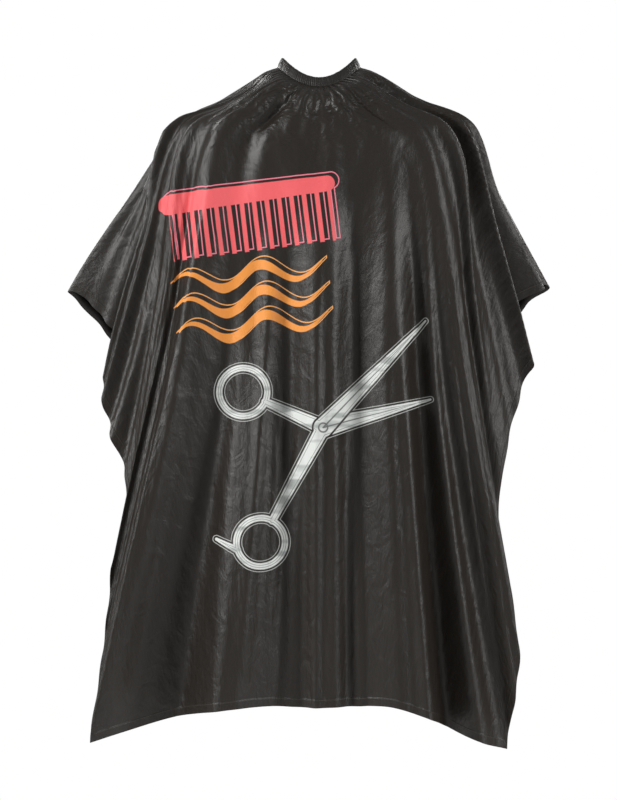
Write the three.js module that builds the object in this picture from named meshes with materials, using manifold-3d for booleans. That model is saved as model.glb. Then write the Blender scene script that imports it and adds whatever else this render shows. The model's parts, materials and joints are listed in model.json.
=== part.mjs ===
// Barber cape: one rectangle of taffeta with a gathered, elasticated neck opening that closes
// at the nape with a row of press studs. Millimetres, +Z up, the wearer faces -Y.
import * as THREE from 'three';
import { mergeVertices } from 'three/addons/utils/BufferGeometryUtils.js';
import Module from 'manifold-3d';

const wasm = await Module();
wasm.setup();

// ---- driving dimensions ----
const clothThickness = 1.2;
const seamGap = 0.3;
const hemWidth = 14;
const clothSeat = 0.8;

const neckHalfWidth = 58;
const neckHalfDepth = 64;
const neckSaddle = 18;
const bandDepth = 19;
const bandThickness = 2.4;
const bandFlare = 0.5;
const casingThickness = 3.2;
const casingWall = 0.8;
const elasticWidth = 15;
const elasticThickness = 0.9;

const shoulderHalfWidth = 243;
const shoulderDrop = 74;
const chestReach = 112;
const chestDrop = 112;
const backReach = 118;
const backDrop = 96;

const overallDrop = 1084;
const cornerDip = 70;
const frontHemDrop = overallDrop - cornerDip;
const backHemDrop = 366;
const slitHalfGap = 2;

const firstStudInset = 3.3;
const studCount = 4;
const studInUse = 3;
const studRadius = 5;
const studGap = 1;
const studSpacing = 2 * studRadius + studGap;
const studPlate = 1.1;
const studNubRadius = 2;
const studNubHeight = 1.1;
const rivetRadius = 1.1;
const rivetClearance = 0.35;
const tabThickness = 1.6;
const tabDepth = 15;
const tabOverlap = 16;
const tabEndMargin = 9;

// ---- directions round the neck, in degrees: 0 is the front centre, + is the wearer's left ----
const frontPanelTurn = 20;
const frontCornerTurn = 32;
const sideTurn = 90;
const backCornerTurn = 122;
const slitTurn = 178;
const degree = Math.PI / 180;
const probeTurn = 0.4;
const up = new THREE.Vector3(0, 0, 1);

// ---- materials ----
const taffeta = () => new THREE.MeshStandardMaterial({
  color: 0x2e2c29, roughness: 0.42, metalness: 0, side: THREE.DoubleSide,
});
const hemTaffeta = () => new THREE.MeshStandardMaterial({ color: 0x262421, roughness: 0.5, metalness: 0 });
const bandTaffeta = () => new THREE.MeshStandardMaterial({ color: 0x2a2825, roughness: 0.48, metalness: 0 });
const wovenElastic = () => new THREE.MeshStandardMaterial({ color: 0x1c1c1c, roughness: 0.85, metalness: 0 });
const nickelPlate = () => new THREE.MeshStandardMaterial({ color: 0xb9bbbd, roughness: 0.25, metalness: 1 });

// ---- the draped surface ----
function neckPoint(turn) {
  const angle = turn * degree;
  return new THREE.Vector3(
    neckHalfWidth * Math.sin(angle),
    -neckHalfDepth * Math.cos(angle),
    -neckSaddle * Math.cos(2 * angle),
  );
}

function neckOutward(turn) {
  const angle = turn * degree;
  return new THREE.Vector3(neckHalfDepth * Math.sin(angle), -neckHalfWidth * Math.cos(angle), 0).normalize();
}

function bandDown(turn) {
  return neckOutward(turn).multiplyScalar(bandFlare).addScaledVector(up, -1).normalize();
}

// A closed path of hand-set stations: each holds its turn in degrees, then x, y and z.
function stationCurve(stations) {
  const curve = new THREE.CatmullRomCurve3(stations.map(([, x, y, z]) => new THREE.Vector3(x, y, z)));
  const turns = stations.map(([turn]) => turn);
  const last = turns.length - 1;
  return (turn) => {
    let index = 0;
    while (index < last - 1 && turn > turns[index + 1]) index += 1;
    const part = (turn - turns[index]) / (turns[index + 1] - turns[index]);
    return curve.getPoint(THREE.MathUtils.clamp((index + part) / last, 0, 1));
  };
}

const backHemStations = [
  [140, 188, 122, -backHemDrop - 134],
  [155, 112, 168, -backHemDrop - 44],
  [168, 50, 142, -backHemDrop - 6],
  [slitTurn, slitHalfGap, 152, -backHemDrop],
];

// The cut edge of the cloth as it hangs, from the front centre round each side to the slit.
const rightEdge = stationCurve([
  [0, -6, -186, -frontHemDrop - 2],
  [8, 60, -152, -frontHemDrop],
  [15, 112, -168, -frontHemDrop],
  [20, 168, -190, -frontHemDrop - 16],
  [24, 198, -122, -frontHemDrop - 32],
  [28, 250, -150, -frontHemDrop - 56],
  [frontCornerTurn, 304, -140, -overallDrop],
  [42, 308, -106, -overallDrop + 168],
  [52, 286, -66, -660],
  [62, 342, -40, -488],
  [75, 306, 0, -402],
  [sideTurn, 372, 26, -346],
  [100, 306, 62, -420],
  [110, 312, 106, -520],
  [backCornerTurn, 264, 130, -600],
  ...backHemStations,
]);

const leftEdge = stationCurve([
  [0, 6, -186, -frontHemDrop - 2],
  [10, 90, -158, -frontHemDrop],
  [18, 160, -182, -frontHemDrop - 6],
  [24, 232, -120, -frontHemDrop - 20],
  [28, 300, -126, -frontHemDrop - 40],
  [frontCornerTurn, 352, -148, -overallDrop + 14],
  [42, 336, -122, -overallDrop + 234],
  [50, 302, -72, -664],
  [62, 352, -48, -540],
  [75, 312, 0, -440],
  [sideTurn, 404, 26, -356],
  [100, 322, 62, -440],
  [110, 324, 106, -530],
  [backCornerTurn, 276, 130, -600],
  ...backHemStations,
]);

// Where the cloth stops lying on the wearer and starts to fall.
const shoulderRing = stationCurve([
  [0, 0, -chestReach, -chestDrop],
  [frontCornerTurn, 150, -chestReach * 0.94, -chestDrop + 6],
  [55, shoulderHalfWidth * 0.88, -60, -shoulderDrop - 12],
  [sideTurn, shoulderHalfWidth, 4, -shoulderDrop],
  [125, shoulderHalfWidth * 0.84, 76, -shoulderDrop - 12],
  [150, 120, backReach * 0.94, -backDrop],
  [slitTurn, slitHalfGap, backReach, -backDrop],
]);

function mirrored(point, side) {
  return new THREE.Vector3(point.x * side, point.y, point.z);
}

// One fall line from under the neck band to the cut edge, at a turn that is minus on the left.
function fallLine(turn) {
  const side = turn < 0 ? -1 : 1;
  const size = Math.abs(turn);
  const top = neckPoint(turn).addScaledVector(bandDown(turn), bandDepth + clothSeat);
  const shoulder = mirrored(shoulderRing(size), side);
  const edge = mirrored((side < 0 ? leftEdge : rightEdge)(size), side);
  const middle = shoulder.clone().lerp(edge, 0.45);
  return new THREE.CatmullRomCurve3([top, shoulder, middle, edge]);
}

// The point and the outward normal of the cloth's middle surface.
function clothSample(turn, fall) {
  const line = fallLine(turn);
  const point = line.getPoint(fall);
  const along = line.getTangent(fall);
  const before = fallLine(turn - probeTurn).getPoint(fall);
  const across = fallLine(turn + probeTurn).getPoint(fall).sub(before);
  return { point, normal: across.cross(along).normalize().negate() };
}

// ---- solids from grids ----
function gridSolid(outer, inner) {
  const rows = outer.length;
  const columns = outer[0].length;
  const positions = [...outer.flat(), ...inner.flat()].flatMap((point) => point.toArray());
  const faces = [];
  const layer = rows * columns;
  const quad = (a, b, c, d) => faces.push(a, b, c, a, c, d);
  for (let row = 0; row < rows - 1; row += 1) {
    for (let column = 0; column < columns - 1; column += 1) {
      const a = row * columns + column;
      const b = a + 1;
      const c = b + columns;
      const d = a + columns;
      quad(a, b, c, d);
      quad(layer + a, layer + d, layer + c, layer + b);
    }
  }
  const rim = [];
  for (let column = 0; column < columns - 1; column += 1) rim.push(column);
  for (let row = 0; row < rows - 1; row += 1) rim.push(row * columns + columns - 1);
  for (let column = columns - 1; column > 0; column -= 1) rim.push((rows - 1) * columns + column);
  for (let row = rows - 1; row > 0; row -= 1) rim.push(row * columns);
  rim.forEach((a, index) => {
    const b = rim[(index + 1) % rim.length];
    quad(b, a, layer + a, layer + b);
  });
  const geometry = new THREE.BufferGeometry();
  geometry.setAttribute('position', new THREE.Float32BufferAttribute(positions, 3));
  geometry.setIndex(faces);
  return facingOut(geometry);
}

function signedVolume(geometry) {
  const position = geometry.getAttribute('position');
  const corner = (index) => new THREE.Vector3().fromBufferAttribute(position, geometry.index.getX(index));
  let volume = 0;
  for (let index = 0; index < geometry.index.count; index += 3) {
    volume += corner(index).dot(corner(index + 1).cross(corner(index + 2))) / 6;
  }
  return volume;
}

function facingOut(geometry) {
  if (signedVolume(geometry) < 0) geometry.index.array.reverse();
  geometry.computeVertexNormals();
  return geometry;
}

function named(name, geometry, material) {
  const mesh = new THREE.Mesh(geometry, material);
  mesh.name = name;
  return mesh;
}

function steps(from, to, count) {
  return Array.from({ length: count + 1 }, (_, index) => from + (to - from) * (index / count));
}

// ---- booleans ----
function toSolid(geometry) {
  const bare = geometry.clone();
  bare.deleteAttribute('normal');
  bare.deleteAttribute('uv');
  const merged = mergeVertices(bare, 1e-3);
  return new wasm.Manifold(new wasm.Mesh({
    numProp: 3,
    vertProperties: new Float32Array(merged.getAttribute('position').array),
    triVerts: new Uint32Array(merged.index.array),
  }));
}

function fromSolid(solid) {
  const mesh = solid.getMesh();
  const geometry = new THREE.BufferGeometry();
  geometry.setAttribute('position', new THREE.Float32BufferAttribute(mesh.vertProperties, 3));
  geometry.setIndex([...mesh.triVerts]);
  geometry.computeVertexNormals();
  return geometry;
}

// ---- cloth panels and hems ----
const clothRows = [0, 0.12, 0.24, 0.36, 0.5, 0.66, 0.82, 0.92];

// Rows of a fall line, ending with the line where the hem's fold starts and the cut edge.
function panelRow(turn, index) {
  if (index < clothRows.length) return clothRows[index];
  return index === clothRows.length ? 1 - hemWidth / fallLine(turn).getLength() : 1;
}

// A closed sheet over the given turns and rows, between two offsets from the middle surface.
function clothSheet(turns, rows, outerOffset, innerOffset) {
  const samples = rows.map((row) => turns.map((turn) => clothSample(turn, panelRow(turn, row))));
  const face = (offset) => samples.map((row) => {
    const points = row.map(({ point, normal }) => point.clone().addScaledVector(normal, offset));
    return insetEnds(points, seamGap / 2);
  });
  return gridSolid(face(outerOffset), face(innerOffset));
}

// Pulls the two ends of a row of points in, so that neighbouring panels keep a gap.
function insetEnds(points, distance) {
  const pulled = points.map((point) => point.clone());
  const last = points.length - 1;
  pulled[0].addScaledVector(points[1].clone().sub(points[0]).normalize(), distance);
  pulled[last].addScaledVector(points[last - 1].clone().sub(points[last]).normalize(), distance);
  return pulled;
}

const clothHalf = clothThickness / 2;
const hemOuter = -(clothHalf + seamGap);
const hemInner = hemOuter - clothThickness;
const hemRow = clothRows.length;
const bodyRows = steps(0, hemRow - 1, hemRow - 1);

function clothPanel(name, turns) {
  const rows = [...bodyRows, hemRow, hemRow + 1];
  return named(name, clothSheet(turns, rows, clothHalf, -clothHalf), taffeta());
}

// A folded strip under the cut edge, one cloth thickness inside the panel.
function edgeHem(name, turns) {
  return named(name, clothSheet(turns, [hemRow, hemRow + 1], hemOuter, hemInner), hemTaffeta());
}

// The folded strip along one side of the slit at the back.
function ventHem(name, turns) {
  return named(name, clothSheet(turns, bodyRows, hemOuter, hemInner), hemTaffeta());
}

// ---- neck band ----
// A point of the band: depth is down from its top edge, offset is out from its middle surface.
function bandPoint(turn, depth, offset) {
  const down = bandDown(turn);
  const along = neckPoint(turn + probeTurn).sub(neckPoint(turn - probeTurn));
  const normal = down.clone().cross(along).normalize();
  return neckPoint(turn).addScaledVector(down, depth).addScaledVector(normal, offset);
}

function bandStrip(turns, topDepth, bottomDepth, innerOffset, outerOffset) {
  const depths = [topDepth, bottomDepth];
  const face = (offset) => depths.map((depth) => turns.map((turn) => bandPoint(turn, depth, offset)));
  return gridSolid(face(outerOffset), face(innerOffset));
}

// A flat tube with open ends: a band with a channel for the elastic cut through it.
function neckCasing(name, turns) {
  const half = casingThickness / 2;
  const channel = half - casingWall;
  const first = turns[0];
  const last = turns[turns.length - 1];
  const tunnelTurns = [first - probeTurn, ...turns, last + probeTurn];
  const body = toSolid(bandStrip(turns, 0, bandDepth, -half, half));
  const tunnel = toSolid(bandStrip(tunnelTurns, casingWall, bandDepth - casingWall, -channel, channel));
  return named(name, fromSolid(body.subtract(tunnel)), bandTaffeta());
}

function neckElastic(name, turns) {
  const top = (bandDepth - elasticWidth) / 2;
  const half = elasticThickness / 2;
  return named(name, bandStrip(turns, top, top + elasticWidth, -half, half), wovenElastic());
}

// ---- press studs ----
function neckTurnFromNape(distance) {
  return distance / (neckHalfWidth + neckHalfDepth) * 2 / degree;
}

// Places a geometry made along +Z, with its base at the origin, on the band and pointing out.
function onBand(geometry, turn, offset) {
  const middle = bandPoint(turn, bandDepth / 2, offset);
  const outward = bandPoint(turn, bandDepth / 2, offset + 1).sub(middle);
  const placed = geometry.clone();
  placed.applyQuaternion(new THREE.Quaternion().setFromUnitVectors(up, outward));
  placed.translate(middle.x, middle.y, middle.z);
  return placed;
}

const roundSides = 20;

function turned(profile) {
  const geometry = new THREE.LatheGeometry(profile.map(([r, z]) => new THREE.Vector2(r, z)), roundSides);
  geometry.rotateX(Math.PI / 2);
  return facingOut(mergedPositions(geometry));
}

function mergedPositions(geometry) {
  geometry.deleteAttribute('normal');
  geometry.deleteAttribute('uv');
  return mergeVertices(geometry, 1e-3);
}

// A plate with a rivet: it sits on one face of the strap and its rivet passes through.
function rivetedPlate(strap) {
  return turned([
    [0, -studPlate],
    [studRadius * 0.86, -studPlate],
    [studRadius, -studPlate * 0.5],
    [studRadius, 0],
    [rivetRadius, 0],
    [rivetRadius, strap + hollowSeat],
    [0, strap + hollowSeat],
  ]);
}

// The male half: a plate with a round nub, with its base on the outer face of the band.
function maleStud() {
  return turned([
    [0, 0],
    [studRadius, 0],
    [studRadius, studPlate * 0.6],
    [studRadius * 0.7, studPlate],
    [studNubRadius * 0.85, studPlate],
    [studNubRadius, studPlate + studNubHeight * 0.6],
    [studNubRadius * 0.7, studPlate + studNubHeight],
    [0, studPlate + studNubHeight],
  ]);
}

// The female half: a ring-edged plate whose face looks in at the nub.
function femaleSocket() {
  return turned([
    [0, 0],
    [studRadius * 0.82, 0],
    [studRadius, studPlate * 0.4],
    [studRadius, studPlate],
    [0, studPlate],
  ]);
}

function rivetHole(turn, offset) {
  const length = 12;
  const radius = rivetRadius + rivetClearance;
  const drill = new THREE.CylinderGeometry(radius, radius, length, roundSides);
  drill.rotateX(Math.PI / 2);
  return toSolid(onBand(drill, turn, offset));
}

const bandHalf = bandThickness / 2;
// A flat plate seated in the hollow side of the curved band stands off by the curve's depth.
const hollowSeat = seamGap + studRadius ** 2 / neckHalfWidth;
const studBase = bandHalf + seamGap;
const socketBase = studBase + studPlate + studNubHeight + seamGap;
const tabInner = socketBase + studPlate + hollowSeat;
const tabMiddle = tabInner + tabThickness / 2;
const tabOuter = tabInner + tabThickness;
const studPlaces = steps(1, studCount, studCount - 1);
const studTurns = studPlaces.map((place) => neckTurnFromNape(studSpacing * place - firstStudInset) - slitTurn);
const snapTurn = studTurns[studInUse - 1];

function plainBand(name, turns) {
  return named(name, bandStrip(turns, 0, bandDepth, -bandHalf, bandHalf), bandTaffeta());
}

function studdedBand(name, turns) {
  const body = toSolid(bandStrip(turns, 0, bandDepth, -bandHalf, bandHalf));
  const drilled = studTurns.reduce((solid, turn) => solid.subtract(rivetHole(turn, 0)), body);
  return named(name, fromSolid(drilled), bandTaffeta());
}

// The tab is sewn to the right-hand band and bridges the slit to the stud in use.
function snapTab(name) {
  const root = slitTurn - neckTurnFromNape(tabOverlap);
  const tip = 360 + snapTurn + neckTurnFromNape(tabEndMargin);
  const turns = steps(root, tip, 10);
  const margin = (bandDepth - tabDepth) / 2;
  const rise = (turn) => THREE.MathUtils.smoothstep(turn, root, slitTurn - 1);
  const seat = bandHalf + seamGap;
  const face = (extra) => [margin, bandDepth - margin].map((depth) => turns.map((turn) => (
    bandPoint(turn, depth, THREE.MathUtils.lerp(seat, tabInner, rise(turn)) + extra)
  )));
  const body = toSolid(gridSolid(face(tabThickness), face(0)));
  return named(name, fromSolid(body.subtract(rivetHole(snapTurn, tabMiddle))), bandTaffeta());
}

// ---- assembly ----
const cape = new THREE.Group();
const panelStep = 3.2;

function panelTurns(from, to) {
  return steps(from, to, Math.max(4, Math.round(Math.abs(to - from) / panelStep)));
}

const ventStart = slitTurn - 3;
const backTurns = [...panelTurns(backCornerTurn, ventStart), slitTurn];
const ventTurns = [ventStart, slitTurn];
const centreTurns = panelTurns(-frontPanelTurn, frontPanelTurn);
const cornerTurns = panelTurns(frontPanelTurn, frontCornerTurn);
const frontSideTurns = panelTurns(frontCornerTurn, sideTurn);
const backSideTurns = panelTurns(sideTurn, backCornerTurn);
const sides = [['right', 1], ['left', -1]];

function sideTurns(turns, side) {
  return side < 0 ? turns.map((turn) => -turn).reverse() : turns;
}

cape.add(clothPanel('front_cloth_centre', centreTurns));
const leftCorner = sideTurns(cornerTurns, -1);
cape.add(edgeHem('front_hem', [...leftCorner.slice(0, -1), ...centreTurns, ...cornerTurns.slice(1)]));
for (const [label, side] of sides) {
  cape.add(clothPanel(`front_cloth_${label}`, sideTurns(cornerTurns, side)));
  cape.add(clothPanel(`front_drape_${label}`, sideTurns(frontSideTurns, side)));
  cape.add(clothPanel(`back_drape_${label}`, sideTurns(backSideTurns, side)));
  cape.add(clothPanel(`back_cloth_${label}`, sideTurns(backTurns, side)));
  cape.add(edgeHem(`front_side_hem_${label}`, sideTurns(frontSideTurns, side)));
  cape.add(edgeHem(`back_side_hem_${label}`, sideTurns(backSideTurns, side)));
  cape.add(edgeHem(`back_hem_${label}`, sideTurns(backTurns.slice(0, -1), side)));
  cape.add(ventHem(`vent_hem_${label}`, sideTurns(ventTurns, side)));
}

const bandStart = sideTurn + neckTurnFromNape(seamGap);
const frontBandTurns = steps(-sideTurn, sideTurn, 36);
const backBandTurns = steps(bandStart, slitTurn, 18);
cape.add(neckCasing('neck_casing', frontBandTurns));
cape.add(neckElastic('neck_elastic', frontBandTurns));
cape.add(plainBand('neck_band_right', backBandTurns));
cape.add(studdedBand('neck_band_left', sideTurns(backBandTurns, -1)));
cape.add(snapTab('snap_tab'));

studTurns.forEach((turn, index) => {
  const place = index + 1;
  cape.add(named(`band_stud_${place}`, onBand(maleStud(), turn, studBase), nickelPlate()));
  const post = rivetedPlate(bandThickness);
  cape.add(named(`band_post_${place}`, onBand(post, turn, -bandHalf - hollowSeat), nickelPlate()));
});
cape.add(named('tab_snap_socket', onBand(femaleSocket(), snapTurn, socketBase), nickelPlate()));
const cap = rivetedPlate(tabThickness);
cap.rotateX(Math.PI);
cape.add(named('tab_snap_cap', onBand(facingOut(cap), snapTurn, tabOuter + seamGap), nickelPlate()));

export default cape;
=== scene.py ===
"""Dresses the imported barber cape: shapes its hanging cloth, gathers its neck band, sews its hems
and its press-stud tab, prints its decoration and sets it in a pale studio. Metres.

The cloth is shaped in code and is not simulated, so it keeps only roughly to the lengths of its flat
cut: along the falls closely, across them less and least at the front hem."""
import json
import math

import bmesh
import bpy
import numpy as np
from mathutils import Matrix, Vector, noise

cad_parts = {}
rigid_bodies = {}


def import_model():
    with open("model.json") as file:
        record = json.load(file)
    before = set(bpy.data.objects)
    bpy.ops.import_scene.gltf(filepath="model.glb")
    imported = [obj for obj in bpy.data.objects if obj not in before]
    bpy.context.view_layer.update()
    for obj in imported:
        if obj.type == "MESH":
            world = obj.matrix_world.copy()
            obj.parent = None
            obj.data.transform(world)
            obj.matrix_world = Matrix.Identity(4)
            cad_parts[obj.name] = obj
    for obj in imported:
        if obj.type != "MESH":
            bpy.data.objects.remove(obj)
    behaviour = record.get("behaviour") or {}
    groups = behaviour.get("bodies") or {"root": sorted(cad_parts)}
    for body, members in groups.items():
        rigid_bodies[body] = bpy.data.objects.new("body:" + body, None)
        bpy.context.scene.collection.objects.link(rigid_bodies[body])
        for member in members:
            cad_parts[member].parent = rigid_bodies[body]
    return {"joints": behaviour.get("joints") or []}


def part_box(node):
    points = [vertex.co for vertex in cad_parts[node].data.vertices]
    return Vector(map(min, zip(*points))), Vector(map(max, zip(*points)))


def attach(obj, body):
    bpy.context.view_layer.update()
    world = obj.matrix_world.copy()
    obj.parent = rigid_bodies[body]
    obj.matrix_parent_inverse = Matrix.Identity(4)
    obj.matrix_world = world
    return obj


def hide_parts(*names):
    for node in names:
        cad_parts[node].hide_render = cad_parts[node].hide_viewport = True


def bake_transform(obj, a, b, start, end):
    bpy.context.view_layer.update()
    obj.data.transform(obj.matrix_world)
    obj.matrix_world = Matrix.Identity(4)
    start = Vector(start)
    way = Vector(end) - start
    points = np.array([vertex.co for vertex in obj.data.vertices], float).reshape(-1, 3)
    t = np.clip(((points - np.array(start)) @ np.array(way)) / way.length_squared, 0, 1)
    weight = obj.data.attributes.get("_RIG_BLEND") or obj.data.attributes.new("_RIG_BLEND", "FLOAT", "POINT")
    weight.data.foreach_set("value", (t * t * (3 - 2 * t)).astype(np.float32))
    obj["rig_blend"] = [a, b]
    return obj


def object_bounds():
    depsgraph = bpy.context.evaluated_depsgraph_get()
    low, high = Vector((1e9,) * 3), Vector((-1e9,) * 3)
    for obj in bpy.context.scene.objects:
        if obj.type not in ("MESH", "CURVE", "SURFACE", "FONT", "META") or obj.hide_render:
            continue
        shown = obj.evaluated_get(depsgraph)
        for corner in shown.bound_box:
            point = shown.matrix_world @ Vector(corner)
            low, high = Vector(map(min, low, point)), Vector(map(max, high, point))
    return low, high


bl_info = {
    "name": "Barber cape",
    "version": (1, 0, 0),
    "blender": (4, 5, 0),
    "location": "View3D > Sidebar > Barber cape",
    "description": "Shapes, sews and prints a hairdresser's cape round a packed frame",
    "category": "Add Mesh",
}

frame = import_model()
CAD_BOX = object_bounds()
MM = 0.001
DEGREE = math.pi / 180

# ---- sizes that come from the frame ----
JOINTS = {joint["name"]: joint for joint in frame["joints"]}
NECK_HALF_WIDTH = JOINTS["back_right_opens"]["pos_m"][0]
NECK_HALF_DEPTH = NECK_HALF_WIDTH + 6 * MM


# ---- properties ----
class CapeClothSettings(bpy.types.PropertyGroup):
    """Nominal sizes of the flat cut, and of the cloth itself."""

    half_width: bpy.props.FloatProperty(
        name="Half Width", description="Half the nominal width of the flat cut",
        default=0.575, min=0.4, max=0.9, unit="LENGTH")
    front_length: bpy.props.FloatProperty(
        name="Front Length", description="From the middle of the neck hole to the front hem",
        default=1.05, min=0.6, max=1.4, unit="LENGTH")
    back_length: bpy.props.FloatProperty(
        name="Back Length", description="From the middle of the neck hole to the back hem",
        default=0.43, min=0.2, max=1.2, unit="LENGTH")
    hole_radius: bpy.props.FloatProperty(
        name="Hole Radius", description="Radius of the neck hole before it is gathered",
        default=0.082, min=0.06, max=0.14, unit="LENGTH")
    thickness: bpy.props.FloatProperty(
        name="Thickness", description="Thickness the cloth is drawn with",
        default=0.0006, min=0.0002, max=0.002, unit="LENGTH")
    hem_width: bpy.props.FloatProperty(
        name="Hem Width", description="Width of the folded and stitched hem",
        default=0.014, min=0.006, max=0.04, unit="LENGTH")
    thread_step: bpy.props.FloatProperty(
        name="Thread Step", description="Spacing of the thread lines that the cloth is shaped on",
        default=0.012, min=0.006, max=0.04, unit="LENGTH")
    colour_hex: bpy.props.StringProperty(
        name="Colour", description="Colour of the taffeta, as a hex colour", default="#1F1B17")


class CapePrintSettings(bpy.types.PropertyGroup):
    """Inks of the printed decoration."""

    coral: bpy.props.StringProperty(
        name="Coral", description="Ink of the comb, as a hex colour", default="#F4666A")
    orange: bpy.props.StringProperty(
        name="Orange", description="Ink of the waves, as a hex colour", default="#F29A44")
    silver: bpy.props.StringProperty(
        name="Silver", description="Ink of the shears, as a hex colour", default="#E2E5E1")


class CapeStageSettings(bpy.types.PropertyGroup):
    """The studio the cape hangs in."""

    camera_distance: bpy.props.FloatProperty(
        name="Camera Distance", description="From the camera to the front of the cape",
        default=6.0, min=1.0, max=12.0, unit="LENGTH")
    picture_height: bpy.props.FloatProperty(
        name="Picture Height", description="Height the camera takes in at the cape",
        default=1.27, min=0.5, max=3.0, unit="LENGTH")
    floor_drop: bpy.props.FloatProperty(
        name="Floor Drop", description="How far the floor lies under the neck opening",
        default=1.42, min=1.1, max=3.0, unit="LENGTH")


# ---- small helpers ----
def linear(hex_colour):
    """An sRGB hex colour as linear red, green, blue and alpha."""
    channels = [int(hex_colour[place:place + 2], 16) / 255 for place in (1, 3, 5)]
    low = [c / 12.92 if c <= 0.04045 else ((c + 0.055) / 1.055) ** 2.4 for c in channels]
    return (*low, 1.0)


def smooth(part):
    """Eases a share from 0 to 1."""
    part = min(max(part, 0.0), 1.0)
    return part * part * (3 - 2 * part)


def new_piece(name, points, faces):
    """A mesh object at the origin, from points in the row's frame."""
    mesh = bpy.data.meshes.new(name)
    mesh.from_pydata([tuple(point) for point in points], [], faces)
    mesh.update()
    piece = bpy.data.objects.new(name, mesh)
    bpy.context.scene.collection.objects.link(piece)
    return piece


def only(piece):
    """Makes one piece the active and the only selected one."""
    for other in bpy.context.view_layer.objects.selected:
        other.select_set(False)
    piece.select_set(True)
    bpy.context.view_layer.objects.active = piece


def apply_modifier(piece, kind, **settings):
    """Adds a modifier with its settings, and applies it."""
    only(piece)
    modifier = piece.modifiers.new(kind.title(), kind)
    for key, value in settings.items():
        setattr(modifier, key, value)
    bpy.ops.object.modifier_apply(modifier=modifier.name)


def shade_smooth(piece):
    """Smooth shading on every face."""
    piece.data.polygons.foreach_set("use_smooth", [True] * len(piece.data.polygons))


def finish_piece(piece, material):
    """Gives a piece its one material."""
    piece.data.materials.clear()
    piece.data.materials.append(material)


# ---- shape of the neck opening ----
BAND_DEPTH = 19 * MM
CLOTH_TUCK = 16.5 * MM
SLIT_TURN = 178


def neck_point(turn):
    """Top edge of the neck band; turn is in degrees from the front, + on the wearer's left."""
    angle = turn * DEGREE
    return Vector((
        NECK_HALF_WIDTH * math.sin(angle),
        -NECK_HALF_DEPTH * math.cos(angle),
        -18 * MM * math.cos(2 * angle),
    ))


def band_down(turn):
    """Direction down the face of the band, which flares out a little."""
    angle = turn * DEGREE
    outward = Vector((NECK_HALF_DEPTH * math.sin(angle), -NECK_HALF_WIDTH * math.cos(angle), 0))
    return (outward.normalized() * 0.5 - Vector((0, 0, 1))).normalized()


def band_normal(turn):
    """Direction out of the face of the band."""
    along = neck_point(turn + 0.4) - neck_point(turn - 0.4)
    return band_down(turn).cross(along).normalized()


def band_point(turn, depth, offset):
    """A point of the band: depth down from its top edge, offset out from its middle."""
    return neck_point(turn) + band_down(turn) * depth + band_normal(turn) * offset


# ---- the cut cloth ----
def spaced(low, high, step):
    """Evenly spaced places from low up to high, without high itself."""
    return list(np.linspace(low, high, max(1, round((high - low) / step)), endpoint=False))


def thread_lines(low, high, step, hem):
    """Places of the thread lines across the cloth, with a hem's width at each cut edge."""
    lines = [low, *spaced(low + hem, 0, step), *spaced(0, high - hem, step)]
    return lines + [high - hem, high]


class CutCloth:
    """The flat cloth as a grid of cells with the neck hole and the slit at the back left out."""

    def __init__(self, settings):
        self.hole = settings.hole_radius
        self.half_width = settings.half_width
        self.front_length = settings.front_length
        self.back_length = settings.back_length
        step, hem = settings.thread_step, settings.hem_width
        self.across = thread_lines(-self.half_width, self.half_width, step, hem)
        self.along = thread_lines(-self.front_length, self.back_length, step, hem)
        self.middle = self.across.index(0.0)
        self.cells = {
            (i, j)
            for i in range(len(self.across) - 1)
            for j in range(len(self.along) - 1)
            if not self.in_hole(i, j)
        }
        self.flat = []
        self.held = []
        self.sides = []
        self.numbers = {}
        self.faces = [self.face(i, j) for j, i in sorted((j, i) for i, j in self.cells)]

    def in_hole(self, i, j):
        """Whether a cell's middle lies in the neck hole."""
        across = (self.across[i] + self.across[i + 1]) / 2
        along = (self.along[j] + self.along[j + 1]) / 2
        return math.hypot(across, along) < self.hole

    def on_hole(self, i, j):
        """Whether a corner of the grid touches a cell that was left out."""
        inner = range(1, len(self.across) - 1), range(1, len(self.along) - 1)
        if i not in inner[0] or j not in inner[1]:
            return False
        return any((a, b) not in self.cells for a in (i - 1, i) for b in (j - 1, j))

    def corner(self, i, j, side):
        """The number of a corner of the grid; the slit has one corner for each of its sides."""
        slit = i == self.middle and self.along[j] > 0
        key = (i, j, side if slit else 0)
        if key not in self.numbers:
            across, along = self.across[i], self.along[j]
            held = self.on_hole(i, j)
            if held:
                shrink = self.hole / math.hypot(across, along)
                across, along = across * shrink, along * shrink
            turn = side * 180.0 if slit else math.atan2(across, -along) / DEGREE
            self.numbers[key] = len(self.flat)
            self.flat.append((across, along))
            self.sides.append(side)
            self.held.append(max(-SLIT_TURN, min(SLIT_TURN, turn)) if held else None)
        return self.numbers[key]

    def face(self, i, j):
        """The four corners of a cell."""
        side = 1 if i >= self.middle else -1
        places = ((i, j), (i + 1, j), (i + 1, j + 1), (i, j + 1))
        return [self.corner(a, b, side) for a, b in places]


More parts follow.
